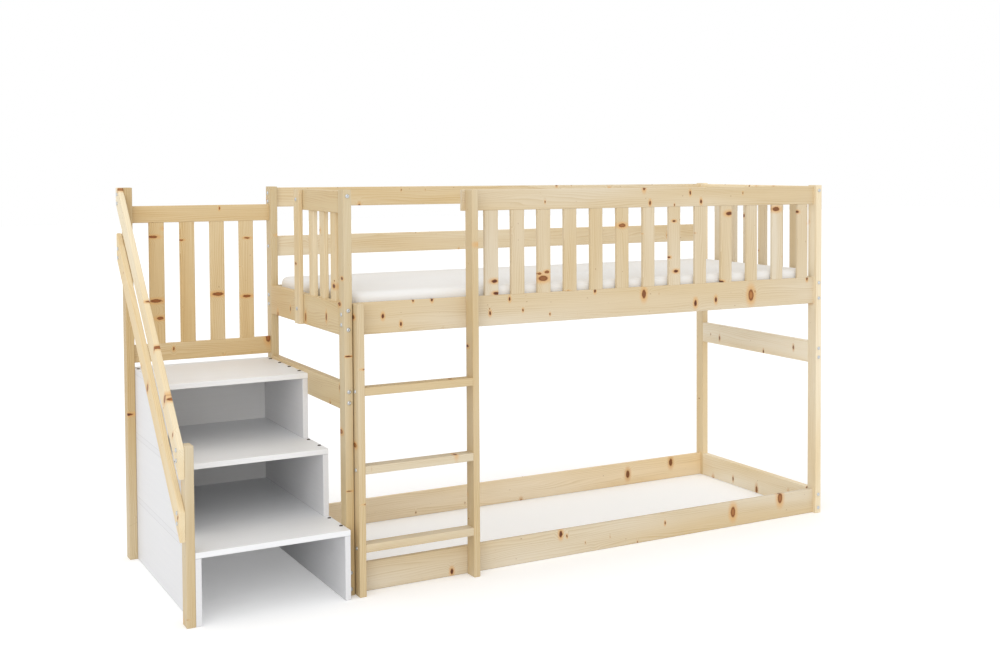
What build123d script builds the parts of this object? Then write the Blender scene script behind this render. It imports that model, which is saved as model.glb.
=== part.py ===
from build123d import *
import os

# House bed: a low loft bed in pine for an 80 x 190 cm mattress, with a ladder at the front and a
# white staircase of three open boxes at the left end. Places are measured from the outer left face
# of the bed's posts (X), from their front face (Y) and from the floor (Z), in millimetres. The
# finished pieces move to an origin under the middle of the whole object.

# Mattress and the stock that goes round it
MATTRESS_LENGTH = 1900.0
MATTRESS_WIDTH = 800.0
MATTRESS_THICKNESS = 103.0
MATTRESS_CORNER_RADIUS = 45.0
MATTRESS_EDGE_RADIUS = 18.0
MATTRESS_END_GAP = 3.0
MATTRESS_SIDE_GAP = 3.5
POST_THICKNESS = 27.0
POST_DEPTH = 55.0
POST_HEIGHT = 1324.0
RAIL_THICKNESS = 18.0
EDGE_RADIUS = 3.0
POST_TOP_CHAMFER = 1.5
BED_LENGTH = MATTRESS_LENGTH + 2 * (MATTRESS_END_GAP + POST_THICKNESS)
RAIL_SETBACK = (POST_DEPTH - RAIL_THICKNESS) / 2
BED_WIDTH = MATTRESS_WIDTH + 2 * (MATTRESS_SIDE_GAP + RAIL_THICKNESS + RAIL_SETBACK)

# Heights of the boards between the posts
LOWER_RAIL_HEIGHT = 97.0
UPPER_RAIL_BOTTOM = 849.0
UPPER_RAIL_HEIGHT = 105.0
UPPER_RAIL_TOP = UPPER_RAIL_BOTTOM + UPPER_RAIL_HEIGHT
MID_END_RAIL_BOTTOM = 607.0
MID_END_RAIL_HEIGHT = 86.0
POST_ABOVE_GUARD = 4.0
GUARD_TOP = POST_HEIGHT - POST_ABOVE_GUARD
GUARD_RAIL_HEIGHT = 72.0
GUARD_RAIL_BOTTOM = GUARD_TOP - GUARD_RAIL_HEIGHT
MIDDLE_GUARD_HEIGHT = 75.0

# Guard slats, tenoned into the rails above and below
SLAT_WIDTH = 51.0
SLAT_THICKNESS = 15.0
SLAT_CHAMFER = 2.0
TENON_LENGTH = 10.0
TENON_SHOULDER = 5.0
TENON_THICKNESS = 7.0
MORTISE_PLAY = 0.3
FRONT_SLAT_COUNT = 13
FRONT_FIRST_SLAT_GAP = 50.0
FRONT_LAST_SLAT_GAP = 28.0
FRONT_PITCH_GROWTH = 2.35
RIGHT_SLAT_COUNT = 6
RIGHT_SLAT_MARGIN = 83.0
LEFT_SLAT_COUNT = 3
LEFT_SLAT_MARGIN = 45.5
STUB_WIDTH = 58.0
STUB_FROM_POST = 372.0

# Ladder
STILE_THICKNESS = 23.0
LADDER_STANDOFF = 40.0
LADDER_POST_GAP = 2.5
RUNG_LENGTH = 377.0
RUNG_HEIGHT = 27.0
RUNG_DEPTH = 50.0
RUNG_SETBACK = 2.0
RUNG_COUNT = 3
RUNG_PITCH = 256.5
FIRST_RUNG_TOP = 170.0
GUARD_RAIL_PAST_STILE = 9.5

# Slatted base under the mattress
LEDGER_WIDTH = 22.0
LEDGER_HEIGHT = 18.0
BED_SLAT_COUNT = 14
BED_SLAT_WIDTH = 70.0
BED_SLAT_THICKNESS = 18.0
BED_SLAT_END_PLAY = 1.5
BED_SLAT_MARGIN = 60.0

# Staircase of stacked boxes, with handrails outside its two posts
STAIR_WIDTH = 482.0
STAIR_BOARD = 18.0
STAIR_RISE = 227.0
STAIR_GOING = 216.0
STAIR_COUNT = 3
STAIR_EDGE_RADIUS = 1.5
HANDRAIL_THICKNESS = 18.0
HANDRAIL_PLUMB_HEIGHT = 91.0
HANDRAIL_RISE_PER_RUN = 0.876
HANDRAIL_PAST_POST = 29.92
HANDRAIL_SPACING = 192.0
NEWEL_ABOVE_START = 99.0
STAIR_GUARD_TOP = 1258.0
STAIR_GUARD_TOP_HEIGHT = 60.0
STAIR_GUARD_BOTTOM = 700.0
STAIR_GUARD_BOTTOM_HEIGHT = 63.0
STAIR_SLAT_COUNT = 4
STAIR_SLAT_MARGIN = 58.0

# Places worked out from the above, as pairs of limits
LEFT_POST_X = (0.0, POST_THICKNESS)
RIGHT_POST_X = (BED_LENGTH - POST_THICKNESS, BED_LENGTH)
FRONT_POST_Y = (0.0, POST_DEPTH)
BACK_POST_Y = (BED_WIDTH - POST_DEPTH, BED_WIDTH)
BETWEEN_POSTS_X = (LEFT_POST_X[1], RIGHT_POST_X[0])
BETWEEN_POSTS_Y = (FRONT_POST_Y[1], BACK_POST_Y[0])
FRONT_RAIL_Y = (RAIL_SETBACK, RAIL_SETBACK + RAIL_THICKNESS)
BACK_RAIL_Y = (BED_WIDTH - FRONT_RAIL_Y[1], BED_WIDTH - FRONT_RAIL_Y[0])
BETWEEN_RAILS_Y = (FRONT_RAIL_Y[1], BACK_RAIL_Y[0])
UPPER_RAIL_Z = (UPPER_RAIL_BOTTOM, UPPER_RAIL_TOP)
GUARD_GAP_Z = (UPPER_RAIL_TOP, GUARD_RAIL_BOTTOM)
GUARD_RAIL_Z = (GUARD_RAIL_BOTTOM, GUARD_TOP)
STUB_Y = (POST_DEPTH + STUB_FROM_POST, POST_DEPTH + STUB_FROM_POST + STUB_WIDTH)
LEFT_STILE_X = (POST_THICKNESS + LADDER_POST_GAP, POST_THICKNESS + LADDER_POST_GAP + STILE_THICKNESS)
RIGHT_STILE_X = (LEFT_STILE_X[1] + RUNG_LENGTH, LEFT_STILE_X[1] + RUNG_LENGTH + STILE_THICKNESS)
SLAT_BASE_TOP = UPPER_RAIL_BOTTOM + LEDGER_HEIGHT + BED_SLAT_THICKNESS
STAIR_FRONT = -LADDER_STANDOFF
STAIR_X = (-STAIR_WIDTH, 0.0)
HANDRAIL_CLIMB = HANDRAIL_RISE_PER_RUN * (BED_WIDTH - STAIR_FRONT)
UPPER_HANDRAIL_START = POST_HEIGHT + HANDRAIL_PAST_POST - HANDRAIL_PLUMB_HEIGHT - HANDRAIL_CLIMB
LOWER_HANDRAIL_START = UPPER_HANDRAIL_START - HANDRAIL_SPACING
NEWEL_HEIGHT = UPPER_HANDRAIL_START + NEWEL_ABOVE_START
STAIR_INSIDE_X = (STAIR_X[0] + STAIR_BOARD, STAIR_X[1] - STAIR_BOARD)
STAIR_POST_X = (STAIR_X[0] - POST_THICKNESS, STAIR_X[0])
NEWEL_Y = (STAIR_FRONT, STAIR_FRONT + POST_DEPTH)
HANDRAIL_X = (STAIR_POST_X[0] - HANDRAIL_THICKNESS, STAIR_POST_X[0])
STAIR_GUARD_TOP_Z = (STAIR_GUARD_TOP - STAIR_GUARD_TOP_HEIGHT, STAIR_GUARD_TOP)
STAIR_GUARD_BOTTOM_Z = (STAIR_GUARD_BOTTOM, STAIR_GUARD_BOTTOM + STAIR_GUARD_BOTTOM_HEIGHT)
ORIGIN_X = (HANDRAIL_X[0] + BED_LENGTH) / 2
ORIGIN_Y = (STAIR_FRONT + BED_WIDTH) / 2


def middle(span):
    return (span[0] + span[1]) / 2


def centred(span, width):
    """The stretch of the given width in the middle of a span."""
    return (middle(span) - width / 2, middle(span) + width / 2)


def grown(span, play):
    return (span[0] - play, span[1] + play)


def spread(span, count, width, first_gap, last_gap, growth=0.0):
    """Stretches of one width along a span. Each step is longer than the last by the growth."""
    steps = count - 1
    room = span[1] - last_gap - width - span[0] - first_gap
    first_step = room / steps - growth * (steps - 1) / 2
    starts = [
        span[0] + first_gap + index * first_step + growth * index * (index - 1) / 2
        for index in range(count)
    ]
    return [(start, start + width) for start in starts]


def slab(xs, ys, zs):
    """A square-edged block between three pairs of limits."""
    size = [high - low for low, high in (xs, ys, zs)]
    return Pos(middle(xs), middle(ys), middle(zs)) * Box(*size)


def board(xs, ys, zs, grain):
    """A board with its four long edges, those along the grain, rounded."""
    block = slab(xs, ys, zs)
    return fillet(block.edges().filter_by(grain), EDGE_RADIUS)


def post(xs, ys, height):
    """An upright with rounded long edges and a softened top."""
    upright = board(xs, ys, (0.0, height), Axis.Z)
    return chamfer(upright.faces().sort_by(Axis.Z)[-1].edges(), POST_TOP_CHAMFER)


def tenoned_slats(places, zs):
    """Upright slats at places given as X and Y limits, and the cutters for their mortises."""
    tenon_zs = grown(zs, TENON_LENGTH)
    slats, mortises = [], []
    for xs, ys in places:
        if xs[1] - xs[0] < ys[1] - ys[0]:
            tenon_xs, tenon_ys = centred(xs, TENON_THICKNESS), grown(ys, -TENON_SHOULDER)
        else:
            tenon_xs, tenon_ys = grown(xs, -TENON_SHOULDER), centred(ys, TENON_THICKNESS)
        blank = slab(xs, ys, zs)
        blank = chamfer(blank.edges().filter_by(Axis.Z), SLAT_CHAMFER)
        slats.append(blank + slab(tenon_xs, tenon_ys, tenon_zs))
        mortises.append(slab(*[grown(span, MORTISE_PLAY) for span in (tenon_xs, tenon_ys, tenon_zs)]))
    return Compound(children=slats), mortises


def bed_posts():
    """The bed's four posts, all alike."""
    return {
        f"post_{depth}_{side}": post(xs, ys, POST_HEIGHT)
        for side, xs in (("left", LEFT_POST_X), ("right", RIGHT_POST_X))
        for depth, ys in (("front", FRONT_POST_Y), ("back", BACK_POST_Y))
    }


def lower_frame():
    """The boards on the floor between the posts, and the rails across the ends at half height."""
    low = (0.0, LOWER_RAIL_HEIGHT)
    mid = (MID_END_RAIL_BOTTOM, MID_END_RAIL_BOTTOM + MID_END_RAIL_HEIGHT)
    made = {}
    for side, ys in (("front", FRONT_RAIL_Y), ("back", BACK_RAIL_Y)):
        made[f"lower_side_rail_{side}"] = board(BETWEEN_POSTS_X, ys, low, Axis.X)
    for side, xs in (("left", LEFT_POST_X), ("right", RIGHT_POST_X)):
        made[f"lower_end_board_{side}"] = board(xs, BETWEEN_POSTS_Y, low, Axis.Y)
        made[f"mid_end_rail_{side}"] = board(xs, BETWEEN_POSTS_Y, mid, Axis.Y)
    return made


def front_side():
    """The long front: side rail, slats that stand wider apart to the right, and top rail."""
    span = (RIGHT_STILE_X[1], RIGHT_POST_X[0])
    gaps = (FRONT_FIRST_SLAT_GAP, FRONT_LAST_SLAT_GAP)
    xs = spread(span, FRONT_SLAT_COUNT, SLAT_WIDTH, *gaps, growth=FRONT_PITCH_GROWTH)
    ys = centred(FRONT_RAIL_Y, SLAT_THICKNESS)
    slats, mortises = tenoned_slats([(each, ys) for each in xs], GUARD_GAP_Z)
    rail_xs = (RIGHT_STILE_X[0] - GUARD_RAIL_PAST_STILE, RIGHT_POST_X[0])
    return {
        "upper_side_rail_front": board(BETWEEN_POSTS_X, FRONT_RAIL_Y, UPPER_RAIL_Z, Axis.X) - mortises,
        "front_guard_slats": slats,
        "front_guard_top_rail": board(rail_xs, FRONT_RAIL_Y, GUARD_RAIL_Z, Axis.X) - mortises,
    }


def back_side():
    """The long back, closed by three plain boards."""
    between = centred(GUARD_GAP_Z, MIDDLE_GUARD_HEIGHT)
    return {
        "upper_side_rail_back": board(BETWEEN_POSTS_X, BACK_RAIL_Y, UPPER_RAIL_Z, Axis.X),
        "back_guard_middle_rail": board(BETWEEN_POSTS_X, BACK_RAIL_Y, between, Axis.X),
        "back_guard_top_rail": board(BETWEEN_POSTS_X, BACK_RAIL_Y, GUARD_RAIL_Z, Axis.X),
    }


def bed_end(side, xs, slat_ys, rail_ys):
    """An end of the bed: end board, slats and top rail, all as thick as the posts but the slats."""
    places = [(centred(xs, SLAT_THICKNESS), ys) for ys in slat_ys]
    slats, mortises = tenoned_slats(places, GUARD_GAP_Z)
    return {
        f"upper_end_board_{side}": board(xs, BETWEEN_POSTS_Y, UPPER_RAIL_Z, Axis.Y) - mortises,
        f"{side}_guard_slats": slats,
        f"{side}_guard_top_rail": board(xs, rail_ys, GUARD_RAIL_Z, Axis.Y) - mortises,
    }


def left_end():
    """The left end, whose guard stops at a stub upright to leave the way in from the stairs."""
    span = (FRONT_POST_Y[1], STUB_Y[0])
    slat_ys = spread(span, LEFT_SLAT_COUNT, SLAT_WIDTH, LEFT_SLAT_MARGIN, LEFT_SLAT_MARGIN)
    made = bed_end("left", LEFT_POST_X, slat_ys, (FRONT_POST_Y[1], STUB_Y[1]))
    stub_zs = (UPPER_RAIL_BOTTOM, GUARD_TOP)
    made["left_guard_stub"] = board((-SLAT_THICKNESS, 0.0), STUB_Y, stub_zs, Axis.Z)
    return made


def right_end():
    margins = (RIGHT_SLAT_MARGIN, RIGHT_SLAT_MARGIN)
    slat_ys = spread(BETWEEN_POSTS_Y, RIGHT_SLAT_COUNT, SLAT_WIDTH, *margins)
    return bed_end("right", RIGHT_POST_X, slat_ys, BETWEEN_POSTS_Y)


def ladder():
    """Two stiles in front of the side rail, the left one only as high as that rail, and flat rungs."""
    stile_ys = (STAIR_FRONT, RAIL_SETBACK)
    rung_ys = (STAIR_FRONT + RUNG_SETBACK, STAIR_FRONT + RUNG_SETBACK + RUNG_DEPTH)
    made = {
        "ladder_stile_left": post(LEFT_STILE_X, stile_ys, UPPER_RAIL_TOP),
        "ladder_stile_right": post(RIGHT_STILE_X, stile_ys, GUARD_TOP),
    }
    for index in range(RUNG_COUNT):
        top = FIRST_RUNG_TOP + index * RUNG_PITCH
        rung = board((LEFT_STILE_X[1], RIGHT_STILE_X[0]), rung_ys, (top - RUNG_HEIGHT, top), Axis.X)
        made[f"ladder_rung_{index + 1}"] = rung
    return made


def slatted_base():
    """Ledgers along the side rails, and the slats that lie across them."""
    xs = grown(BETWEEN_POSTS_X, -MATTRESS_END_GAP)
    ledger_zs = (UPPER_RAIL_BOTTOM, UPPER_RAIL_BOTTOM + LEDGER_HEIGHT)
    front_ys = (BETWEEN_RAILS_Y[0], BETWEEN_RAILS_Y[0] + LEDGER_WIDTH)
    back_ys = (BETWEEN_RAILS_Y[1] - LEDGER_WIDTH, BETWEEN_RAILS_Y[1])
    slat_ys = grown(BETWEEN_RAILS_Y, -BED_SLAT_END_PLAY)
    slats = []
    for slat_xs in spread(xs, BED_SLAT_COUNT, BED_SLAT_WIDTH, BED_SLAT_MARGIN, BED_SLAT_MARGIN):
        slat = slab(slat_xs, slat_ys, (ledger_zs[1], SLAT_BASE_TOP))
        slats.append(chamfer(slat.edges().filter_by(Axis.Y), SLAT_CHAMFER))
    return {
        "slat_ledger_front": board(xs, front_ys, ledger_zs, Axis.X),
        "slat_ledger_back": board(xs, back_ys, ledger_zs, Axis.X),
        "bed_slats": Compound(children=slats),
    }


def mattress():
    """A foam mattress with rounded corners and edges."""
    base = Pos(middle(BETWEEN_POSTS_X), middle(BETWEEN_RAILS_Y), SLAT_BASE_TOP)
    block = base * Box(
        MATTRESS_LENGTH, MATTRESS_WIDTH, MATTRESS_THICKNESS, align=(Align.CENTER, Align.CENTER, Align.MIN)
    )
    block = fillet(block.edges().filter_by(Axis.Z), MATTRESS_CORNER_RADIUS)
    faces = block.faces().sort_by(Axis.Z)
    return fillet(faces[0].edges() + faces[-1].edges(), MATTRESS_EDGE_RADIUS)


def stair_box(number):
    """One open-fronted box: a tread on two side panels with a back panel between them."""
    front = STAIR_FRONT + (number - 1) * STAIR_GOING
    top = number * STAIR_RISE
    under_tread = top - STAIR_BOARD
    wall_zs = (top - STAIR_RISE, under_tread)
    tread = slab(STAIR_X, (front, BED_WIDTH), (under_tread, top))
    front_edges = tread.faces().sort_by(Axis.Y)[0].edges().filter_by(Axis.X)
    made = {f"stair_tread_{number}": fillet(front_edges, STAIR_EDGE_RADIUS)}
    sides = {"left": (STAIR_X[0], STAIR_INSIDE_X[0]), "right": (STAIR_INSIDE_X[1], STAIR_X[1])}
    for side, xs in sides.items():
        panel = slab(xs, (front, BED_WIDTH), wall_zs)
        front_edges = panel.faces().sort_by(Axis.Y)[0].edges().filter_by(Axis.Z)
        made[f"stair_{side}_panel_{number}"] = fillet(front_edges, STAIR_EDGE_RADIUS)
    made[f"stair_back_panel_{number}"] = slab(STAIR_INSIDE_X, (BED_WIDTH - STAIR_BOARD, BED_WIDTH), wall_zs)
    return made


def handrail(start):
    """A sloping board with plumb ends, level with the tall post's top where it would pass it."""
    run = (STAIR_FRONT, BED_WIDTH)
    outline = Polyline(
        (run[0], start),
        (run[1], start + HANDRAIL_CLIMB),
        (run[1], start + HANDRAIL_CLIMB + HANDRAIL_PLUMB_HEIGHT),
        (run[0], start + HANDRAIL_PLUMB_HEIGHT),
        close=True,
    )
    up_to_post_top = Pos(middle(run), POST_HEIGHT / 2) * Rectangle(run[1] - run[0], POST_HEIGHT)
    side = Plane((HANDRAIL_X[0], 0, 0), x_dir=(0, 1, 0), z_dir=(1, 0, 0))
    rail = extrude(side * (make_face(outline) & up_to_post_top), HANDRAIL_THICKNESS)
    faces = rail.faces().sort_by(Axis.X)
    return fillet(faces[0].edges() + faces[-1].edges(), EDGE_RADIUS)


def tenoned_rail(zs):
    """A rail behind the stairs with a tenon at its left end, and the cutter for its mortise."""
    tenon_xs = (STAIR_X[0] - TENON_LENGTH, STAIR_X[0])
    tenon = (tenon_xs, centred(BACK_RAIL_Y, TENON_THICKNESS), grown(zs, -TENON_SHOULDER))
    rail = board(STAIR_X, BACK_RAIL_Y, zs, Axis.X) + slab(*tenon)
    return rail, slab(*[grown(span, MORTISE_PLAY) for span in tenon])


def stair_back():
    """The tall post and the panel of slats between it and the bed, above the top tread."""
    margins = (STAIR_SLAT_MARGIN, STAIR_SLAT_MARGIN)
    slat_xs = spread(STAIR_X, STAIR_SLAT_COUNT, SLAT_WIDTH, *margins)
    slat_ys = centred(BACK_RAIL_Y, SLAT_THICKNESS)
    slat_zs = (STAIR_GUARD_BOTTOM_Z[1], STAIR_GUARD_TOP_Z[0])
    slats, mortises = tenoned_slats([(xs, slat_ys) for xs in slat_xs], slat_zs)
    top_rail, top_mortise = tenoned_rail(STAIR_GUARD_TOP_Z)
    bottom_rail, bottom_mortise = tenoned_rail(STAIR_GUARD_BOTTOM_Z)
    return {
        "stair_back_post": post(STAIR_POST_X, BACK_POST_Y, POST_HEIGHT) - [top_mortise, bottom_mortise],
        "stair_guard_top_rail": top_rail - mortises,
        "stair_guard_bottom_rail": bottom_rail - mortises,
        "stair_guard_slats": slats,
    }


def stair_front():
    """The short post at the foot of the stairs and the two handrails that rise from it."""
    return {
        "stair_newel": post(STAIR_POST_X, NEWEL_Y, NEWEL_HEIGHT),
        "handrail_upper": handrail(UPPER_HANDRAIL_START),
        "handrail_lower": handrail(LOWER_HANDRAIL_START),
    }


def build():
    """Every piece by its name, in the bed's own coordinates."""
    pieces = bed_posts() | lower_frame()
    pieces |= front_side() | back_side() | left_end() | right_end()
    pieces |= ladder() | slatted_base() | {"mattress": mattress()}
    for number in range(1, STAIR_COUNT + 1):
        pieces |= stair_box(number)
    return pieces | stair_back() | stair_front()


def main():
    os.makedirs("parts", exist_ok=True)
    for name, solid in build().items():
        export_step(Pos(-ORIGIN_X, -ORIGIN_Y, 0) * solid, f"parts/{name}.step")


main()
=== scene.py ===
import math
import bmesh
import bpy
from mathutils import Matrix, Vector, noise


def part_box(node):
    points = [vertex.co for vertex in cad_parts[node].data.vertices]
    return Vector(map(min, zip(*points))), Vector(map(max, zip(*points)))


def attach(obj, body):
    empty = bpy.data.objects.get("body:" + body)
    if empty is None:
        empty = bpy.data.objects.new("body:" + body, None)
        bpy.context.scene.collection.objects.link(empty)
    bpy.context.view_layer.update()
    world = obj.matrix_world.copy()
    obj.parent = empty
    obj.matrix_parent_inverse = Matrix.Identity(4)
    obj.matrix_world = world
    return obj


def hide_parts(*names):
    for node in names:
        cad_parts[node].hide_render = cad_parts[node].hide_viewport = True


# House bed: a low loft bed in pine with a ladder at the front and a staircase of white boxes at its
# left end. The script follows the bed as it is put together. Lengths are in millimetres.

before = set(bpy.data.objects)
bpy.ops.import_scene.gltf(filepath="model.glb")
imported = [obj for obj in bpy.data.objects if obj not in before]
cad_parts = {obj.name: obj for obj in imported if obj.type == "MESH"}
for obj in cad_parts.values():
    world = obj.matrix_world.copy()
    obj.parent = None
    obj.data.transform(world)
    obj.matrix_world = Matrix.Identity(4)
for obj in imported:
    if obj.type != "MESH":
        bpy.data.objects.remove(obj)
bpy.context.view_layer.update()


# The four posts carry every other board of the bed. They are planed knotty pine of 27 by 55 mm with
# a clear matt lacquer, and the boards are bolted on through them.


def colour(code):
    """A hex sRGB colour as the linear one that the shader takes."""
    parts = [int(code[start : start + 2], 16) / 255 for start in (1, 3, 5)]
    linear = [part / 12.92 if part <= 0.04045 else ((part + 0.055) / 1.055) ** 2.4 for part in parts]
    return (*linear, 1.0)


def add(material, kind, inputs=None, output=0, **settings):
    """Adds a node and gives one of its outputs. An input is a value, or an output to link from."""
    node = material.node_tree.nodes.new("ShaderNode" + kind)
    for name, value in settings.items():
        setattr(node, name, value)
    for name, value in (inputs or {}).items():
        if isinstance(value, bpy.types.NodeSocket):
            material.node_tree.links.new(value, node.inputs[name])
        else:
            node.inputs[name].default_value = value
    return node.outputs[output] if node.outputs else node


def empty_material(name):
    """A new material without nodes."""
    material = bpy.data.materials.new(name)
    material.use_nodes = True
    material.node_tree.nodes.clear()
    return material


def finish(material, *names):
    """Gives the boards of the frame their surface."""
    for name in names:
        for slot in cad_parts[name].material_slots:
            slot.material = material


NO_OFFSET = (0.0, 0.0, 0.0)


def along_grain(material, grain, width, offset=NO_OFFSET):
    """Places in millimetres: along the grain, across the board and through its thickness.

    An offset moves the board in its log, so that like boards don't share a pattern.
    """
    along, across = Vector(grain).normalized(), Vector(width).normalized()
    spot = add(material, "TexCoord", output="Object")
    places = []
    for axis, start in zip((along, across, along.cross(across)), offset):
        inputs = {0: spot, 1: axis * 1000.0}
        part = add(material, "VectorMath", inputs, output="Value", operation="DOT_PRODUCT")
        places.append(add(material, "Math", {0: part, 1: start}, operation="ADD"))
    return places


def drawn_out(material, places, lengths):
    """A pattern's coordinates: places that are each divided by a length in millimetres."""
    scaled = []
    for place, length in zip(places, lengths):
        scaled.append(add(material, "Math", {0: place, 1: length}, operation="DIVIDE"))
    return add(material, "CombineXYZ", dict(enumerate(scaled)))


bed_corner = Vector(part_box("post_front_left")[0])


def in_bed(point):
    """A place in millimetres from the bed's left front corner on the floor, in metres."""
    return bed_corner + Vector(point) / 1000.0


def bed_box(name):
    """A piece's lowest and highest corners in millimetres from the bed's left front corner."""
    return [(Vector(corner) - bed_corner) * 1000.0 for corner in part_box(name)]


# Branches that the boards cut across: a few a metre, wider across the grain than along it, and
# smaller pin knots between them. A radius is measured along the grain.
KNOT_SPACING = 108.0
KNOT_RADII = (1.2, 7.0)
PIN_KNOT_SPACING = 60.0
PIN_KNOT_RADII = (0.3, 1.6)
KNOT_ASPECT = 1.9
BRANCH_TILT = math.radians(24.0)
KNOT_EDGE_WANDER = 4.0
KNOT_EDGE_WAVE = 9.0
STAIN_REACH = 3.0
SMALLEST_KNOT_SIZE = 0.15
LARGEST_KNOT = 13.0


def scattered_knots(material, along, across, deep, spacing, radii, rarity):
    """How far a place is from the nearest knot's middle, in knot radii, and that knot's size."""
    wide = add(material, "Math", {0: across, 1: math.cos(BRANCH_TILT)}, operation="MULTIPLY")
    inputs = {0: deep, 1: math.sin(BRANCH_TILT), 2: wide}
    branch = add(material, "Math", inputs, operation="MULTIPLY_ADD")
    cells = drawn_out(material, (along, branch), (spacing, spacing * KNOT_ASPECT))
    distance = add(material, "TexVoronoi", {"Vector": cells, "Scale": 1.0}, voronoi_dimensions="2D")
    chance = add(material, "SeparateColor", {"Color": distance.node.outputs["Color"]})
    size = add(material, "Math", {0: chance, 1: rarity}, operation="POWER")
    inputs = {0: size, 1: (radii[1] - radii[0]) / spacing, 2: radii[0] / spacing}
    radius = add(material, "Math", inputs, operation="MULTIPLY_ADD")
    return add(material, "Math", {0: distance, 1: radius}, operation="DIVIDE"), size


def with_knot(material, along, across, nearest, size, middle, radius, aspect):
    """The same after one more knot, whose middle is given along and across the grain."""
    parts = []
    for place, start, reach in ((along, middle[0], radius), (across, middle[1], radius * aspect)):
        inputs = {0: place, 1: 1 / reach, 2: -start / reach}
        parts.append(add(material, "Math", inputs, operation="MULTIPLY_ADD"))
    spot = add(material, "CombineXYZ", dict(enumerate(parts)))
    distance = add(material, "VectorMath", {0: spot}, output="Value", operation="LENGTH")
    nearest = add(material, "Math", {0: nearest, 1: distance}, operation="MINIMUM")
    own_size = min(1.0, SMALLEST_KNOT_SIZE + radius / LARGEST_KNOT)
    near = {"Value": distance, "From Min": STAIN_REACH, "From Max": STAIN_REACH - 0.1}
    shown = add(material, "MapRange", near | {"To Min": 0.0, "To Max": own_size})
    return nearest, add(material, "Math", {0: size, 1: shown}, operation="MAXIMUM")


# Growth lines in pine are 1 to 4 mm apart on a flat-sawn board. They are drawn 8 mm apart, because
# finer ones are lost in the render. Three lengths are along, across and through the board.
GROWTH_LINE_SPACING = 8.0
GROWTH_LINE_SPACING_THROUGH = 5.6
GROWTH_LINE_WANDER = 9.0
LATE_WOOD_SHARPNESS = 2.2
CONTOURS = (620.0, 75.0, 60.0)
CLEARER_PATCHES = (420.0, 28.0, 28.0)
FIBRES = (130.0, 3.0, 3.0)
BOARD_TONES = (900.0, 160.0, 160.0)


def growth_lines(material, places, knot):
    """Late wood, from 0 to 1: long contours that bend round each knot, stronger here and there."""
    _, across, deep = places
    inputs = {"Vector": drawn_out(material, places, CONTOURS), "Scale": 1.0}
    slow = add(material, "TexNoise", inputs | {"Detail": 2.0, "Roughness": 0.45})
    reach = {"Value": knot, "From Min": 0.6, "From Max": 5.0, "To Min": 1.6, "To Max": 0.0}
    swell = add(material, "MapRange", reach, interpolation_type="SMOOTHSTEP")
    layers = add(material, "Math", {0: slow, 1: GROWTH_LINE_WANDER, 2: swell}, operation="MULTIPLY_ADD")
    for place, spacing in ((across, GROWTH_LINE_SPACING), (deep, GROWTH_LINE_SPACING_THROUGH)):
        layers = add(material, "Math", {0: place, 1: 1 / spacing, 2: layers}, operation="MULTIPLY_ADD")
    within = add(material, "Math", {0: layers}, operation="FRACT")
    late = add(material, "Math", {0: within, 1: LATE_WOOD_SHARPNESS}, operation="POWER")
    inputs = {"Vector": drawn_out(material, places, CLEARER_PATCHES), "Scale": 1.0, "Detail": 1.0}
    patchy = add(material, "TexNoise", inputs)
    reach = {"Value": patchy, "From Min": 0.35, "From Max": 0.7, "To Min": 0.1, "To Max": 0.9}
    return add(material, "Math", {0: late, 1: add(material, "MapRange", reach)}, operation="MULTIPLY")


FIBRE_TINT = 0.5
FIBRE_RELIEF = 0.6
EARLY_WOOD_SHARE = 0.15


def clear_wood(material, places, knot, early, late):
    """Wood before its knots are drawn, and the relief that planing leaves on it."""
    lines = growth_lines(material, places, knot)
    inputs = {"Vector": drawn_out(material, places, FIBRES), "Scale": 1.0, "Detail": 2.0}
    fibres = add(material, "TexNoise", inputs)
    mixed = add(material, "Math", {0: fibres, 1: FIBRE_TINT, 2: lines}, operation="MULTIPLY_ADD")
    mixed = add(material, "Math", {0: mixed, 1: EARLY_WOOD_SHARE}, operation="SUBTRACT", use_clamp=True)
    wood = add(material, "MixRGB", {"Fac": mixed, "Color1": colour(early), "Color2": colour(late)})

    # whole boards differ a little, from pale sapwood to yellower heartwood
    inputs = {"Vector": drawn_out(material, places, BOARD_TONES), "Scale": 1.0, "Detail": 1.0}
    reach = {"Value": add(material, "TexNoise", inputs), "From Min": 0.35, "From Max": 0.65}
    tone = add(material, "MapRange", reach)
    inputs = {"Fac": tone, "Color1": colour("#FFFFFF"), "Color2": colour("#F6EBD4")}
    inputs = {"Fac": 1.0, "Color1": wood, "Color2": add(material, "MixRGB", inputs)}
    wood = add(material, "MixRGB", inputs, blend_type="MULTIPLY")
    relief = add(material, "Math", {0: fibres, 1: FIBRE_RELIEF, 2: lines}, operation="MULTIPLY_ADD")
    return wood, relief


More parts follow.
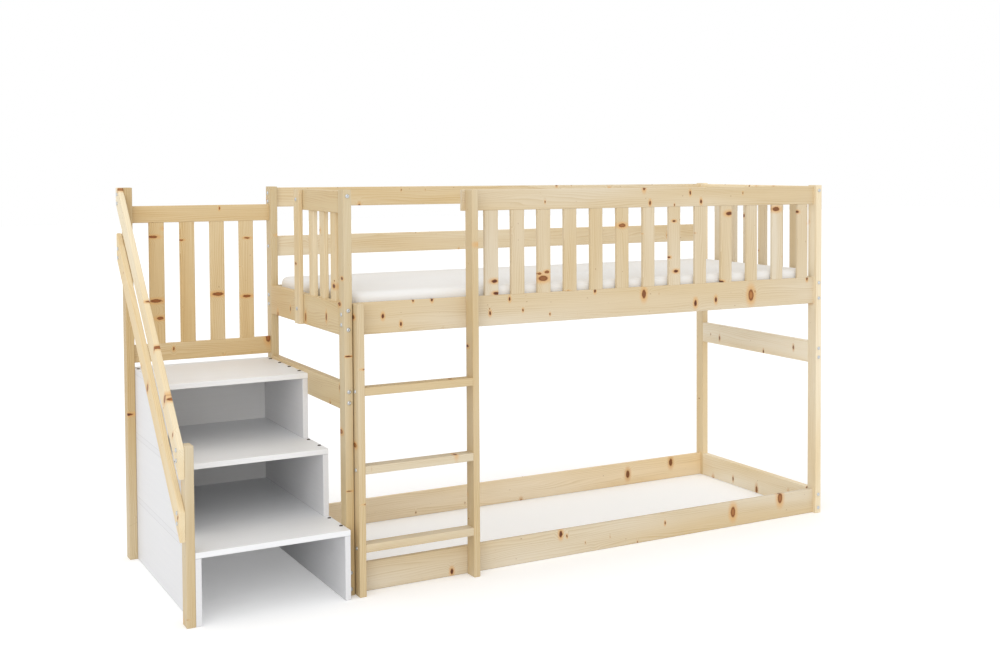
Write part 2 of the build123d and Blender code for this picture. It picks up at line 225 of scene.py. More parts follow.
def knotted(material, wood, knot, size, heart):
    """Wood with its knots: dark to the heart if small, tan in a dark rim if large."""
    # the least of the scattered knots fade out
    there = add(material, "Math", {0: size, 1: 6.0}, operation="MULTIPLY", use_clamp=True)

    # resin stains the wood round a knot
    reach = {"Value": knot, "From Min": 0.9, "From Max": STAIN_REACH, "To Min": 0.7, "To Max": 0.0}
    stain = add(material, "MapRange", reach, interpolation_type="SMOOTHSTEP")
    stain = add(material, "Math", {0: stain, 1: there}, operation="MULTIPLY")
    wood = add(material, "MixRGB", {"Fac": stain, "Color1": wood, "Color2": colour("#D9A35C")})

    tan = add(material, "MapRange", {"Value": size, "From Min": 0.65, "From Max": 1.0})
    core = add(material, "MixRGB", {"Fac": tan, "Color1": colour(heart), "Color2": colour("#B0743A")})
    rim = add(material, "MapRange", {"Value": knot, "From Min": 0.5, "From Max": 0.85})
    core = add(material, "MixRGB", {"Fac": rim, "Color1": core, "Color2": colour("#7C430F")})
    reach = {"Value": knot, "From Min": 0.9, "From Max": 1.25, "To Min": 1.0, "To Max": 0.0}
    inside = add(material, "MapRange", reach)
    inside = add(material, "Math", {0: inside, 1: there}, operation="MULTIPLY")
    return add(material, "MixRGB", {"Fac": inside, "Color1": wood, "Color2": core})


EARLY_WOOD, LATE_WOOD = "#DFD3BD", "#CBB894"
DARK_HEART = "#54260A"
MANY_KNOTS, FEW_KNOTS, FEW_PIN_KNOTS = 1.3, 5.0, 3.0


def pine(
    name,
    grain,
    width,
    offset=NO_OFFSET,
    early=EARLY_WOOD,
    late=LATE_WOOD,
    large_knots=(),
    aspect=KNOT_ASPECT,
    heart=DARK_HEART,
):
    """Planed pine under clear matt lacquer: cream early wood, fine yellow late wood and knots.

    Large knots are places in the bed, each with its radius. A board without them has scattered ones.
    """
    material = empty_material(name)
    places = along_grain(material, grain, width, offset)
    along, across, deep = places
    inputs = {"Vector": drawn_out(material, places, [KNOT_EDGE_WAVE] * 3), "Scale": 1.0, "Detail": 1.0}
    inputs = {0: add(material, "TexNoise", inputs), 1: KNOT_EDGE_WANDER, 2: along}
    edge = add(material, "Math", inputs, operation="MULTIPLY_ADD")
    rarity = FEW_KNOTS if large_knots else MANY_KNOTS
    knot, size = scattered_knots(material, edge, across, deep, KNOT_SPACING, KNOT_RADII, rarity)
    for *place, radius in large_knots:
        point = in_bed(place) * 1000.0
        axes = zip((grain, width), offset)
        middle = [point.dot(Vector(axis).normalized()) + start for axis, start in axes]
        middle[0] += KNOT_EDGE_WANDER / 2
        knot, size = with_knot(material, edge, across, knot, size, middle, radius, aspect)
    wood, relief = clear_wood(material, places, knot, early, late)
    wood = knotted(material, wood, knot, size, heart)

    pins = (PIN_KNOT_SPACING, PIN_KNOT_RADII, FEW_PIN_KNOTS)
    pin, _ = scattered_knots(material, across, edge, deep, *pins)
    reach = {"Value": pin, "From Min": 0.6, "From Max": 1.3, "To Min": 0.7, "To Max": 0.0}
    inputs = {"Fac": add(material, "MapRange", reach), "Color1": wood, "Color2": colour("#8F623A")}
    wood = add(material, "MixRGB", inputs)

    # the softer early wood is planed a little lower and takes the lacquer duller
    bump = add(material, "Bump", {"Height": relief, "Strength": 0.2, "Distance": 0.0004})
    reach = {"Value": relief, "From Min": 0.0, "From Max": 1.5, "To Min": 0.56, "To Max": 0.46}
    rough = add(material, "MapRange", reach)
    inputs = {"Base Color": wood, "Roughness": rough, "Normal": bump}
    add(material, "OutputMaterial", {"Surface": add(material, "BsdfPrincipled", inputs)})
    return material


UP, ALONG_BED, ACROSS_BED = (0, 0, 1), (1, 0, 0), (0, 1, 0)
# The posts at the right are painted paler than those at the left: painted light on them, where less light
# reaches them.
right_post_pine = pine("pine_right_posts", UP, ACROSS_BED, early="#F2E5CA", late="#DDC79D")
finish(right_post_pine, "post_front_right", "post_back_right")
left_post_pine = pine("pine_left_posts", UP, ACROSS_BED, early="#D5C6A6", late="#C0A77A")
finish(left_post_pine, "post_front_left", "post_back_left")


# The side rails and the boards of the guard are pine of 18 mm, set back between the posts. They
# stand on edge, bolted into their ends, and the front ones are mortised for the guard's slats.

# Each knot has its place along the bed, its height and its radius.
UPPER_RAIL_KNOTS = [
    (136, 906, 4),
    (198, 876, 3.5),
    (241, 952, 2.5),
    (308, 952, 3.5),
    (520, 893, 3.5),
    (594, 938, 3.5),
    (645, 896, 2.5),
    (751, 876, 2),
    (933, 949, 3.5),
    (1139, 927, 8),
    (1367, 881, 6),
    (1625, 898, 11),
    (1645, 911, 2),
    (1900, 950, 4),
]
TOP_RAIL_KNOTS = [(733, 1274, 2), (1166, 1264, 4), (1273, 1255, 2), (1392, 1266, 4), (1586, 1296, 2)]
LOWER_RAIL_KNOTS = [(372, 16, 5), (790, 82, 6), (815, 71, 2.5), (1541, 56, 10), (1768, 80, 10)]
LOWER_BACK_RAIL_KNOTS = [(1549, 46, 8), (1772, 72, 8)]


def seen_from_front(knots):
    """Places in the bed of knots that are given along it, up and by radius."""
    return [(along, 0.0, height, radius) for along, height, radius in knots]


rail_knots = seen_from_front(UPPER_RAIL_KNOTS + TOP_RAIL_KNOTS + LOWER_RAIL_KNOTS)
rail_pine = pine("pine_rails", ALONG_BED, UP, offset=(0.0, 31.0, 0.0), large_knots=rail_knots)
finish(rail_pine, "upper_side_rail_front", "lower_side_rail_front", "front_guard_top_rail")
back_rail_pine = pine("pine_back_rails", ALONG_BED, UP, early="#E4D6BA", late="#CFB689")
finish(back_rail_pine, "upper_side_rail_back", "back_guard_top_rail", "back_guard_middle_rail")
# The lower back rail is painted much paler than the other rails: painted light on it in the shade under
# the bed.
lower_back_pine = pine(
    "pine_lower_back_rail",
    ALONG_BED,
    UP,
    early="#FBEBD0",
    late="#E7D2AA",
    large_knots=seen_from_front(LOWER_BACK_RAIL_KNOTS),
)
finish(lower_back_pine, "lower_side_rail_back")


# The boards and rails across the ends are pine of 27 mm, flush with the posts, and are bolted
# through the posts from the front and from the back. Those on the left are yellower. Those on the
# right are painted much paler: painted light on them in the shade at the far end of the bed.

for side, early, late in (("left", "#DAC8A2", "#C5A777"), ("right", "#FCF2DD", "#EAD9B5")):
    end_pine = pine(f"pine_{side}_end", ACROSS_BED, UP, early=early, late=late)
    finish(end_pine, f"upper_end_board_{side}", f"mid_end_rail_{side}", f"lower_end_board_{side}")
    finish(end_pine, f"{side}_guard_top_rail")


# The guard's slats are pine of 15 mm, tenoned into the boards above and below. The grain runs up
# each slat. Behind the stairs they and their two rails are yellower.

FRONT_SLAT_KNOTS = [
    (538, 1003, 5.5),
    (711, 1021, 3.5),
    (740, 1026, 4.5),
    (725, 1004, 9),
    (1280, 1006, 5),
    (1272, 1195, 3.5),
    (1522, 1218, 7),
    (1746, 1231, 8),
    (1850, 1218, 4.5),
    (1130, 1150, 2),
]
slat_knots = seen_from_front(FRONT_SLAT_KNOTS)
slat_pine = pine("pine_front_slats", UP, ALONG_BED, offset=(0.0, 17.0, 0.0), large_knots=slat_knots)
finish(slat_pine, "front_guard_slats")
finish(pine("pine_right_slats", UP, ACROSS_BED, offset=(90.0, 0.0, 0.0)), "right_guard_slats")
LEFT_SLAT_KNOTS = [(118, 1004, 6.5), (112, 1022, 2)]


def seen_from_left(knots):
    """Places in the bed of knots that are given across it, up and by radius."""
    return [(0.0, across, height, radius) for across, height, radius in knots]


left_slat_pine = pine(
    "pine_left_slats",
    UP,
    ACROSS_BED,
    early="#E3D4B4",
    late="#CDB285",
    large_knots=seen_from_left(LEFT_SLAT_KNOTS),
)
finish(left_slat_pine, "left_guard_slats", "left_guard_stub")

# Behind the stairs the knots are rusty, and the slats' are branches cut lengthwise.
YELLOW_EARLY, YELLOW_LATE = "#DECAA3", "#C7A875"
RUSTY_HEART = "#95561E"
SPIKE_KNOT_ASPECT = 3.0
STAIR_SLAT_KNOTS = [
    (-411, 1147, 4.5),
    (-404, 917, 6),
    (-315, 1133, 2.5),
    (-188, 931, 6),
    (-81, 1134, 3),
    (-84, 918, 4.5),
]
stair_slat_pine = pine(
    "pine_stair_slats",
    UP,
    ALONG_BED,
    early=YELLOW_EARLY,
    late=YELLOW_LATE,
    large_knots=seen_from_front(STAIR_SLAT_KNOTS),
    aspect=SPIKE_KNOT_ASPECT,
    heart=RUSTY_HEART,
)
finish(stair_slat_pine, "stair_guard_slats")
STAIR_RAIL_KNOTS = [(-346, 741, 3), (-8, 758, 8)]
stair_rail_pine = pine(
    "pine_stair_rails",
    ALONG_BED,
    UP,
    early=YELLOW_EARLY,
    late=YELLOW_LATE,
    large_knots=seen_from_front(STAIR_RAIL_KNOTS),
    heart=RUSTY_HEART,
)
finish(stair_rail_pine, "stair_guard_top_rail", "stair_guard_bottom_rail")


# The ladder has two stiles of 23 mm pine and three flat rungs, which are bolted through the stiles
# into their ends, one bolt at each end.

LADDER_EARLY, LADDER_LATE = "#DBCEB4", "#C6B089"
stile_pine = pine("pine_stiles", UP, ACROSS_BED, (40.0, 60.0, 0.0), LADDER_EARLY, LADDER_LATE)
finish(stile_pine, "ladder_stile_left", "ladder_stile_right")
rung_pine = pine("pine_rungs", ALONG_BED, ACROSS_BED, early=LADDER_EARLY, late=LADDER_LATE)
finish(rung_pine, "ladder_rung_1", "ladder_rung_2", "ladder_rung_3")


# The mattress lies on loose slats of unlacquered pine that rest on ledgers, screwed along the side
# rails. They are seen from below only.

ledger_pine = pine("pine_ledgers", ALONG_BED, UP, offset=(0.0, 9.0, 0.0))
finish(ledger_pine, "slat_ledger_front", "slat_ledger_back")
finish(pine("pine_bed_slats", ACROSS_BED, ALONG_BED), "bed_slats")


# The staircase is three open boxes of 18 mm softwood boards, screwed together and sprayed white.
# The satin paint has a faint trace of the grain along each board. The treads are painted whiter
# than the side panels and the back panels whiter still: painted light on the treads' tops and in
# the shade inside the boxes.

# The grain's trace has a length along, across and through the board. The joints between the boards
# are hairlines, drawn 2 mm wide so that they aren't lost in the render.
GRAIN_TRACE = (260.0, 7.0, 7.0)
SEAM_WIDTH = 2.0
SEAM_SHADE = 0.8
PANEL_SHADED, PANEL_LIT = "#E1E1E3", "#E5E5E6"
NOISE_RANGE = {"From Min": 0.3, "From Max": 0.7}
tread_low, tread_high = bed_box("stair_tread_1")


def seam_shade(material, height):
    """A thin grey line where a side panel meets the tread above it and the one below it."""
    rise = tread_high.z
    nearest = SEAM_WIDTH
    for thickness in (0.0, tread_high.z - tread_low.z):
        raised = add(material, "Math", {0: height, 1: thickness}, operation="ADD")
        distance = add(material, "Math", {0: raised, 1: rise / 2}, operation="PINGPONG")
        nearest = add(material, "Math", {0: nearest, 1: distance}, operation="MINIMUM")
    reach = {"Value": nearest, "From Min": SEAM_WIDTH / 2, "From Max": SEAM_WIDTH, "To Min": SEAM_SHADE}
    return add(material, "MapRange", reach)


def on_tread_ends(material, along):
    """1 on the two sawn ends of a tread and 0 between them."""
    middle = (in_bed(tread_low).x + in_bed(tread_high).x) * 1000.0 / 2
    half = (tread_high.x - tread_low.x) / 2
    offset = add(material, "Math", {0: along, 1: middle}, operation="SUBTRACT")
    distance = add(material, "Math", {0: offset}, operation="ABSOLUTE")
    return add(material, "MapRange", {"Value": distance, "From Min": half - 1.0, "From Max": half - 0.5})


def painted_board(name, grain, width, shaded, lit, seams=False, ends_in_panel_paint=False):
    """White satin spray paint over softwood: smooth, with the grain just felt through it."""
    material = empty_material(name)
    places = along_grain(material, grain, width)
    inputs = {"Vector": drawn_out(material, places, GRAIN_TRACE), "Scale": 1.0}
    streaks = add(material, "TexNoise", inputs | {"Detail": 3.0, "Roughness": 0.6})
    shade = add(material, "MapRange", {"Value": streaks} | NOISE_RANGE)
    paint = add(material, "MixRGB", {"Fac": shade, "Color1": colour(shaded), "Color2": colour(lit)})
    if seams:
        inputs = {"Fac": 1.0, "Color1": paint, "Color2": seam_shade(material, places[1])}
        paint = add(material, "MixRGB", inputs, blend_type="MULTIPLY")
    if ends_in_panel_paint:
        # on its two ends a tread takes the side panels' greyer paint, without the painted light that
        # whitens the rest of the tread
        at_end = on_tread_ends(material, places[0])
        inputs = {"Fac": at_end, "Color1": paint, "Color2": colour(PANEL_SHADED)}
        paint = add(material, "MixRGB", inputs)
    bump = add(material, "Bump", {"Height": streaks, "Strength": 0.05, "Distance": 0.0003})
    reach = {"Value": streaks, "To Min": 0.42, "To Max": 0.5} | NOISE_RANGE
    inputs = {"Base Color": paint, "Roughness": add(material, "MapRange", reach), "Normal": bump}
    add(material, "OutputMaterial", {"Surface": add(material, "BsdfPrincipled", inputs)})
    return material


# The treads and back panels are painted whiter than the side panels: painted light on the treads' tops
# and inside the boxes.
tread_paint = painted_board("painted_treads", ALONG_BED, ACROSS_BED, "#EDEEF0", "#F1F2F3", ends_in_panel_paint=True)
panel_paint = painted_board("painted_side_panels", ACROSS_BED, UP, PANEL_SHADED, PANEL_LIT, seams=True)
back_paint = painted_board("painted_back_panels", ALONG_BED, UP, "#F6F5F4", "#F9F8F7")
for step in (1, 2, 3):
    finish(tread_paint, f"stair_tread_{step}")
    finish(panel_paint, f"stair_left_panel_{step}", f"stair_right_panel_{step}")
    finish(back_paint, f"stair_back_panel_{step}")


# A short post at the foot of the stairs and a tall one at the back carry two sloping handrails of
# 18 mm pine, bolted on their outer faces. The grain follows the slope.

finish(pine("pine_newel", UP, ACROSS_BED, (200.0, 20.0, 0.0), "#D7C9AC", "#C2AA7F"), "stair_newel")
finish(pine("pine_tall_post", UP, ACROSS_BED, (90.0, 45.0, 0.0), "#D2C09D", "#BB9F71"), "stair_back_post")
HANDRAIL_RISE_PER_RUN = 0.876
slope, square_to_slope = (0, 1, HANDRAIL_RISE_PER_RUN), (0, -HANDRAIL_RISE_PER_RUN, 1)
HANDRAIL_KNOTS = [
    (670, 1254, 5),
    (501, 1041, 2.5),
    (273, 821, 6),
    (134, 677, 8),
    (-79, 498, 6),
    (768, 1140, 5),
    (763, 1029, 2),
    (389, 677, 8),
    (-15, 419, 6),
    (-21, 338, 4),
    (475, 885, 3),
]
handrail_pine = pine(
    "pine_handrails",
    slope,
    square_to_slope,
    early="#EFE1C3",
    late="#DBC59A",
    large_knots=seen_from_left(HANDRAIL_KNOTS),
    heart=RUSTY_HEART,
)
finish(handrail_pine, "handrail_upper", "handrail_lower")


# The mattress is a slab of firm foam in a white woven cover, rounded at its corners and edges. It
# lies loose on the slats, and the cloth over the foam is a little uneven.

MATTRESS_PLAY = 2.0
MATTRESS_CORNER = 45.0
MATTRESS_ROUNDING = 24.0
MATTRESS_RING_STEP = 28.0
FIRST_RING = 3.0
LAST_RING_FROM_EDGE = 6.0
SHARPEST_CORNER = 4.0
ROUNDING_STEPS = 8
LONG_SIDE_PIECES, SHORT_SIDE_PIECES = 40, 18
COVER_WAVE_LENGTH = 170.0
COVER_WAVE_DEPTH = 1.6
COVER_THREAD = 1.6
COVER_CLOUD = 200.0
TOP_PLAY = 1.0

mattress_low, mattress_high = [Vector(corner) * 1000.0 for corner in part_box("mattress")]
MATTRESS_LENGTH = mattress_high.x - mattress_low.x - 2 * MATTRESS_PLAY
MATTRESS_WIDTH = mattress_high.y - mattress_low.y - 2 * MATTRESS_PLAY
MATTRESS_HEIGHT = mattress_high.z - mattress_low.z - TOP_PLAY


def corner_arc(quarter, half_x, half_y, radius):
    """Points round one corner of the mattress, the back right one first."""
    side_x, side_y = ((1, 1), (-1, 1), (-1, -1), (1, -1))[quarter]
    middle = Vector((side_x * (half_x - radius), side_y * (half_y - radius)))
    angles = [(quarter + step / ROUNDING_STEPS) * math.pi / 2 for step in range(ROUNDING_STEPS + 1)]
    return [middle + radius * Vector((math.cos(angle), math.sin(angle))) for angle in angles]


def rounded_outline(inset):
    """The mattress seen from above, drawn in by an inset: points round a rounded rectangle."""
    half_x, half_y = MATTRESS_LENGTH / 2 - inset, MATTRESS_WIDTH / 2 - inset
    radius = min(max(MATTRESS_CORNER - inset, SHARPEST_CORNER), half_y * 0.9)
    arcs = [corner_arc(quarter, half_x, half_y, radius) for quarter in range(4)]
    points = []
    for quarter, arc in enumerate(arcs):
        pieces = SHORT_SIDE_PIECES if quarter % 2 else LONG_SIDE_PIECES
        following = arcs[(quarter + 1) % 4][0]
        points += arc + [arc[-1].lerp(following, piece / pieces) for piece in range(1, pieces)]
    return points


def mattress_rings():
    """Pairs of inset and height, from near the middle of the top, over both edges, to the bottom."""
    flat = MATTRESS_WIDTH / 2 - FIRST_RING
    rings = []
    while flat > MATTRESS_ROUNDING + LAST_RING_FROM_EDGE:
        rings.append((flat, MATTRESS_HEIGHT))
        flat -= MATTRESS_RING_STEP
    angles = [step / ROUNDING_STEPS * math.pi / 2 for step in range(ROUNDING_STEPS + 1)]
    for angle in angles:
        inset, drop = 1 - math.sin(angle), 1 - math.cos(angle)
        rings.append((MATTRESS_ROUNDING * inset, MATTRESS_HEIGHT - MATTRESS_ROUNDING * drop))
    for angle in angles:
        inset, rise = 1 - math.cos(angle), 1 - math.sin(angle)
        rings.append((MATTRESS_ROUNDING * inset, MATTRESS_ROUNDING * rise))
    return rings


def joined_rings(mesh, loops):
    """Faces between each loop of points and the next, and a face that closes each end."""
    for first, second in zip(loops, loops[1:]):
        for index in range(len(first)):
            following = (index + 1) % len(first)
            mesh.faces.new((first[index], second[index], second[following], first[following]))
    mesh.faces.new(loops[0])
    mesh.faces.new(reversed(loops[-1]))


def mattress_mesh():
    """The mattress at its place in the bed, with its top a little wavy."""
    mesh = bmesh.new()
    middle = (mattress_low + mattress_high) / 2
    loops = []
    for inset, height in mattress_rings():
        loop = []
        for point in rounded_outline(inset):
            spot = Vector((middle.x + point.x, middle.y + point.y, mattress_low.z + height))
            wave = abs(noise.noise(spot / COVER_WAVE_LENGTH)) * COVER_WAVE_DEPTH
            spot.z -= wave * height / MATTRESS_HEIGHT
            loop.append(mesh.verts.new(spot / 1000.0))
        loops.append(loop)
    joined_rings(mesh, loops)
    bmesh.ops.recalc_face_normals(mesh, faces=mesh.faces)
    return mesh


def as_piece(name, mesh, material, body):
    """Turns a mesh made here into a piece that moves with a body."""
    data = bpy.data.meshes.new(name)
    mesh.to_mesh(data)
    mesh.free()
    data.materials.append(material)
    for polygon in data.polygons:
        polygon.use_smooth = True
    piece = bpy.data.objects.new(name, data)
    bpy.context.scene.collection.objects.link(piece)
    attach(piece, body)
    return piece


def woven_cover():
    """Plain-woven white cotton and polyester: dull, with a soft sheen where it turns away."""
    material = empty_material("woven_cover")
    spot = add(material, "TexCoord", output="Object")
    threads = []
    for axis in (ALONG_BED, ACROSS_BED):
        inputs = {0: spot, 1: Vector(axis) * (2 * math.pi * 1000.0 / COVER_THREAD)}
        phase = add(material, "VectorMath", inputs, output="Value", operation="DOT_PRODUCT")
        threads.append(add(material, "Math", {0: phase}, operation="SINE"))
    weave = add(material, "Math", {0: threads[0], 1: threads[1]}, operation="MULTIPLY")
    cloud = add(material, "TexNoise", {"Vector": spot, "Scale": 1000.0 / COVER_CLOUD, "Detail": 1.0})
    inputs = {"Fac": cloud, "Color1": colour("#E9E8E6"), "Color2": colour("#EDECEA")}
    cloth = add(material, "MixRGB", inputs)
    bump = add(material, "Bump", {"Height": weave, "Strength": 0.2, "Distance": 0.0003})
    inputs = {"Base Color": cloth, "Roughness": 0.9, "Sheen Weight": 0.15, "Sheen Roughness": 0.5}
    cover = add(material, "BsdfPrincipled", inputs | {"Normal": bump})
    add(material, "OutputMaterial", {"Surface": cover})
    return material


mattress = as_piece("mattress_cover", mattress_mesh(), woven_cover(), "mattress")
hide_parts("mattress")


# The bolts are zinc-plated steel with low round heads and a hexagon socket. They go through the
# posts, stiles and handrails into the ends of the boards, and only their heads show.

BOLT_RADIUS = 6.8
BOLT_HEAD_HEIGHT = 3.5
BOLT_SOCKET_ACROSS = 4.0
BOLT_SIDES = 24
ZINC_CLOUD = 1.0


def hexagon(angle):
    """How far the side of the socket is from its middle in one direction."""
    return BOLT_SOCKET_ACROSS / 2 / math.cos(angle % (math.pi / 3) - math.pi / 6)


def add_head(mesh, seat, outward, rings, sides):
    """A round head that stands out from a seat: rings from under its rim to its recess."""
    turn = Vector(outward).to_track_quat("Z", "Y").to_matrix()
    loops = []
    for level, reach in rings:
        loop = []
        for index in range(sides):
            angle = 2 * math.pi * index / sides
            distance = reach(angle) if callable(reach) else reach
            local = Vector((distance * math.cos(angle), distance * math.sin(angle), level))
            loop.append(mesh.verts.new(in_bed(Vector(seat) + turn @ local)))
        loops.append(loop)
    joined_rings(mesh, loops[::-1])


BOLT_RINGS = [
    (-0.5, BOLT_RADIUS),
    (BOLT_HEAD_HEIGHT * 0.35, BOLT_RADIUS),
    (BOLT_HEAD_HEIGHT * 0.75, BOLT_RADIUS * 0.86),
    (BOLT_HEAD_HEIGHT, BOLT_RADIUS * 0.6),
    (BOLT_HEAD_HEIGHT, hexagon),
    (BOLT_HEAD_HEIGHT * 0.4, hexagon),
]


def zinc_plated_steel():
    """Steel with a bright zinc coat: a pale metal, slightly clouded."""
    material = empty_material("zinc_plated_steel")
    spot = add(material, "TexCoord", output="Object")
    cloud = add(material, "TexNoise", {"Vector": spot, "Scale": 1000.0 / ZINC_CLOUD, "Detail": 2.0})
    reach = {"Value": cloud, "To Min": 0.26, "To Max": 0.42} | NOISE_RANGE
    rough = add(material, "MapRange", reach)
    inputs = {"Base Color": colour("#C6C9CC"), "Metallic": 1.0, "Roughness": rough}
    add(material, "OutputMaterial", {"Surface": add(material, "BsdfPrincipled", inputs)})
    return material


def bolt_heights(name, spread):
    """Heights of a pair of bolts in a board, as far above its middle line as below it."""
    low, high = bed_box(name)
    middle = (low.z + high.z) / 2
    return (middle - spread, middle + spread)


def bolt_heads(name, seats):
    """One piece of bolt heads, at seats with the direction each one faces."""
    mesh = bmesh.new()
    for seat, outward in seats:
        add_head(mesh, seat, outward, BOLT_RINGS, BOLT_SIDES)
    as_piece(name, mesh, zinc, "bed")


zinc = zinc_plated_steel()
LEFT, RIGHT, FRONT, BACK = (-1, 0, 0), (1, 0, 0), (0, -1, 0), (0, 1, 0)
post_low, post_high = bed_box("post_front_left")
BED_LENGTH = bed_box("post_front_right")[1].x
BED_WIDTH = bed_box("post_back_left")[1].y
front_line = (post_low.y + post_high.y) / 2
rail_lines = (front_line, BED_WIDTH - front_line)
guard_heights = bolt_heights("back_guard_top_rail", spread=16.0)
middle_guard_height = bolt_heights("back_guard_middle_rail", spread=0.0)[0]
side_rail_heights = bolt_heights("upper_side_rail_front", spread=17.0)
lower_rail_heights = bolt_heights("lower_side_rail_front", spread=13.0)
end_heights = bolt_heights("upper_end_board_left", spread=31.0)
end_heights += bolt_heights("mid_end_rail_left", spread=18.0)
end_heights += bolt_heights("lower_end_board_left", spread=27.0)
END_GUARD_BOLT_DROP = 17.0
end_guard_height = bed_box("left_guard_top_rail")[1].z - END_GUARD_BOLT_DROP

# into the ends of the side rails and the long rails of the guard
seats = [((0.0, y, z), LEFT) for y in rail_lines for z in side_rail_heights]
right_end_heights = side_rail_heights + lower_rail_heights
seats += [((BED_LENGTH, y, z), RIGHT) for y in rail_lines for z in right_end_heights]
seats += [((0.0, rail_lines[1], z), LEFT) for z in (*guard_heights, middle_guard_height)]
seats += [((BED_LENGTH, rail_lines[1], z), RIGHT) for z in (guard_heights[0], middle_guard_height)]
seats.append(((BED_LENGTH, rail_lines[0], guard_heights[0]), RIGHT))

# into the boards across the ends
for x in (post_high.x / 2, BED_LENGTH - post_high.x / 2):
    for y, outward in ((0.0, FRONT), (BED_WIDTH, BACK)):
        seats += [((x, y, z), outward) for z in end_heights]
    seats.append(((x, 0.0, end_guard_height), FRONT))
seats.append(((BED_LENGTH - post_high.x / 2, BED_WIDTH, end_guard_height), BACK))
bolt_heads("frame_bolt_heads", seats)

stile_left, stile_right = bed_box("ladder_stile_left")[0].x, bed_box("ladder_stile_right")[1].x
seats = []
for number in (1, 2, 3):
    low, high = bed_box(f"ladder_rung_{number}")
    middle = (low + high) / 2
    seats += [((stile_left, middle.y, middle.z), LEFT), ((stile_right, middle.y, middle.z), RIGHT)]
bolt_heads("ladder_bolt_heads", seats)

HANDRAIL_PLUMB_HEIGHT = 91.0
HANDRAIL_BOLT_SPREAD = 16.0
newel_low, newel_high = bed_box("stair_newel")
seats = []
for name in ("handrail_upper", "handrail_lower"):
    low, _ = bed_box(name)
    for y in ((newel_low.y + newel_high.y) / 2, rail_lines[1]):
        middle = low.z + HANDRAIL_PLUMB_HEIGHT / 2 + HANDRAIL_RISE_PER_RUN * (y - low.y)
        for step in (-HANDRAIL_BOLT_SPREAD, HANDRAIL_BOLT_SPREAD):
            seats.append(((low.x, y, middle + step), LEFT))
low, high = bed_box("left_guard_stub")
stub_heights = (sum(side_rail_heights) / 2, sum(guard_heights) / 2)
seats += [((low.x, (low.y + high.y) / 2, z), LEFT) for z in stub_heights]
bolt_heads("handrail_bolt_heads", seats)


# Each tread is screwed down into its side panels, as far back as the next box leaves it bare. The
# screws are phosphated steel, dull and dark, with a cross recess.

SCREW_RADIUS = 5.8
SCREW_HEAD_HEIGHT = 2.6
SCREW_RECESS = 3.0
SCREW_SIDES = 16
SCREW_FROM_FRONT = 68.0
SCREW_SPACING = 118.0
PHOSPHATE_GRAIN = 1.0


def cross(angle):
    """How far the side of a cross recess is from its middle in one direction."""
    return SCREW_RECESS * (0.3 + 0.7 * abs(math.cos(2 * angle)) ** 3)


SCREW_RINGS = [
    (-0.4, SCREW_RADIUS),
    (SCREW_HEAD_HEIGHT * 0.6, SCREW_RADIUS),
    (SCREW_HEAD_HEIGHT * 0.9, SCREW_RADIUS * 0.85),
    (SCREW_HEAD_HEIGHT, SCREW_RADIUS * 0.6),
    (SCREW_HEAD_HEIGHT, cross),
    (SCREW_HEAD_HEIGHT * 0.4, cross),
]


def phosphated_steel():
    """Phosphated steel: grey-brown, dull and slightly grainy."""
    material = empty_material("phosphated_steel")
    spot = add(material, "TexCoord", output="Object")
    cloud = add(material, "TexNoise", {"Vector": spot, "Scale": 1000.0 / PHOSPHATE_GRAIN, "Detail": 2.0})
    reach = {"Value": cloud, "To Min": 0.4, "To Max": 0.6} | NOISE_RANGE
    rough = add(material, "MapRange", reach)
    inputs = {"Base Color": colour("#5C554E"), "Metallic": 1.0, "Roughness": rough}
    add(material, "OutputMaterial", {"Surface": add(material, "BsdfPrincipled", inputs)})
    return material


screws = bmesh.new()
treads = [bed_box(f"stair_tread_{number}") for number in (1, 2, 3)]
bare_ends = [low.y for low, _ in treads[1:]] + [treads[2][1].y]
for number, ((low, high), bare_end) in enumerate(zip(treads, bare_ends)):
    panel_low, panel_high = bed_box(f"stair_right_panel_{number + 1}")
    edge = (panel_high.x - panel_low.x) / 2
    y = low.y + SCREW_FROM_FRONT
    while y < bare_end:
        for x in (low.x + edge, high.x - edge):
            add_head(screws, (x, y, high.z), UP, SCREW_RINGS, SCREW_SIDES)
        y += SCREW_SPACING
as_piece("tread_screw_heads", screws, phosphated_steel(), "bed")


# The bed stands on a white studio floor, in even light from all round, with a soft fill from
# the front and a little more from above. The floor keeps the bed's shadow.

FLOOR_SIZE = 60.0
FLOOR_DROP = 0.0005
FLOOR_REFLECTS = 0.88
FLOOR_GLOW = 0.22
ROOM_LIGHT = 0.82
floor_mesh = bmesh.new()
bmesh.ops.create_grid(floor_mesh, x_segments=1, y_segments=1, size=FLOOR_SIZE / 2)
floor_data = bpy.data.meshes.new("floor")
floor_mesh.to_mesh(floor_data)
floor_mesh.free()
floor = bpy.data.objects.new("floor", floor_data)
floor.location.z = -FLOOR_DROP
bpy.context.scene.collection.objects.link(floor)


def seen_directly(material):
    """One where the camera, a reflection or a clear body sees it, and none where it lights."""
    seen = add(material, "LightPath", output="Is Camera Ray")
    path = seen.node
    for kind in ("Is Glossy Ray", "Is Transmission Ray"):
        seen = add(material, "Math", {0: seen, 1: path.outputs[kind]}, operation="MAXIMUM")
    return seen


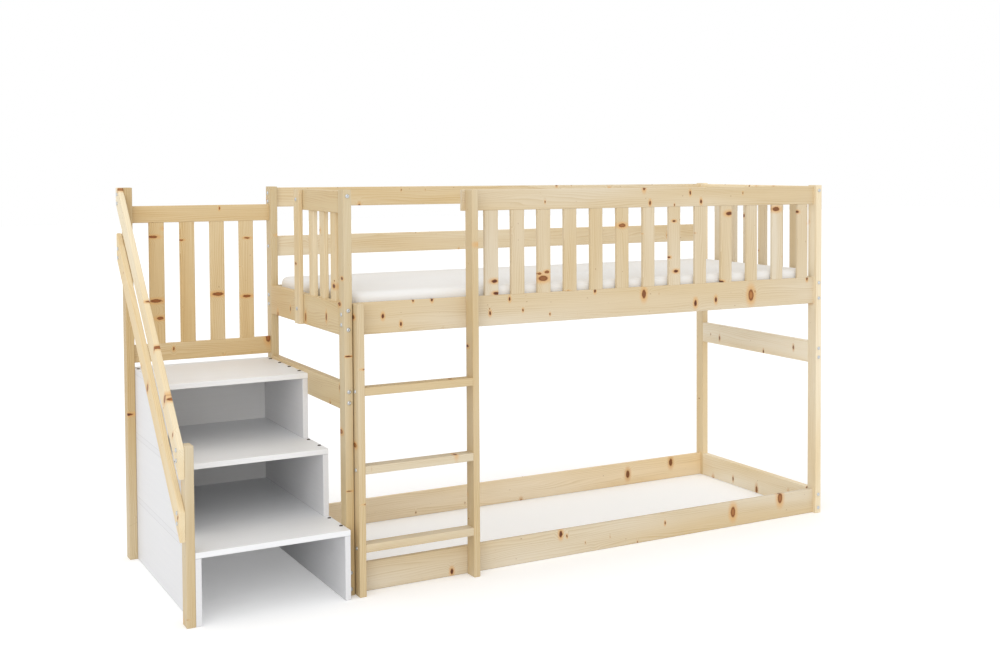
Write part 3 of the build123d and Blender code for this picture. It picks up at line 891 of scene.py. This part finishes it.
WHITE = (1.0, 1.0, 1.0, 1.0)
floor_paint = empty_material("studio_floor")
matt = add(floor_paint, "BsdfDiffuse", {"Color": (FLOOR_REFLECTS, FLOOR_REFLECTS, FLOOR_REFLECTS, 1.0)})
glow = add(floor_paint, "Emission", {"Color": WHITE, "Strength": FLOOR_GLOW})
lifted = add(floor_paint, "AddShader", {0: matt, 1: glow})
shown = add(floor_paint, "MixShader", {0: seen_directly(floor_paint), 1: matt, 2: lifted})
add(floor_paint, "OutputMaterial", {"Surface": shown})
floor_data.materials.append(floor_paint)

world = bpy.data.worlds.new("white_room")
bpy.context.scene.world = world
world.use_nodes = True
world.node_tree.nodes.clear()
lighting = add(world, "Background", {"Color": WHITE, "Strength": ROOM_LIGHT})
white = add(world, "Background", {"Color": WHITE, "Strength": 1.0})
shown = add(world, "MixShader", {0: seen_directly(world), 1: lighting, 2: white})
add(world, "OutputWorld", {"Surface": shown})


def broad_light(name, towards, spread, strength):
    """Even light from a wide patch of the room, in the direction given."""
    data = bpy.data.lights.new(name, "SUN")
    data.energy = strength
    data.angle = math.radians(spread)
    lamp = bpy.data.objects.new(name, data)
    lamp.rotation_euler = Vector(towards).to_track_quat("Z", "Y").to_euler()
    bpy.context.scene.collection.objects.link(lamp)


broad_light("front_fill", towards=(-0.5, -0.84, 0.25), spread=45.0, strength=0.75)
broad_light("top_light", towards=(-0.2, -0.2, 1.0), spread=80.0, strength=0.55)

# The camera stands at eye height in front of the bed's left end, with a shifted lens. Its place is
# in metres, its angles in degrees, its lens in millimetres, and the picture in pixels.
CAMERA_PLACE = (-2.1605, -4.7086, 1.4001)
CAMERA_YAW = 33.318
CAMERA_PITCH = 2.269
CAMERA_LENS = 48.955
SENSOR_WIDTH = 36.0
PICTURE_SIZE = (1000.0, 666.0)
LENS_AXIS_AT = (700.0, 220.0)
camera_data = bpy.data.cameras.new("camera")
camera_data.sensor_width = SENSOR_WIDTH
camera_data.lens = CAMERA_LENS
camera_data.shift_x = (PICTURE_SIZE[0] / 2 - LENS_AXIS_AT[0]) / PICTURE_SIZE[0]
camera_data.shift_y = (LENS_AXIS_AT[1] - PICTURE_SIZE[1] / 2) / PICTURE_SIZE[0]
camera = bpy.data.objects.new("camera", camera_data)
camera.location = CAMERA_PLACE
camera.rotation_euler = (math.radians(90.0 - CAMERA_PITCH), 0.0, math.radians(-CAMERA_YAW))
bpy.context.scene.collection.objects.link(camera)
bpy.context.scene.camera = camera
bpy.context.scene.view_settings.view_transform = "Standard"
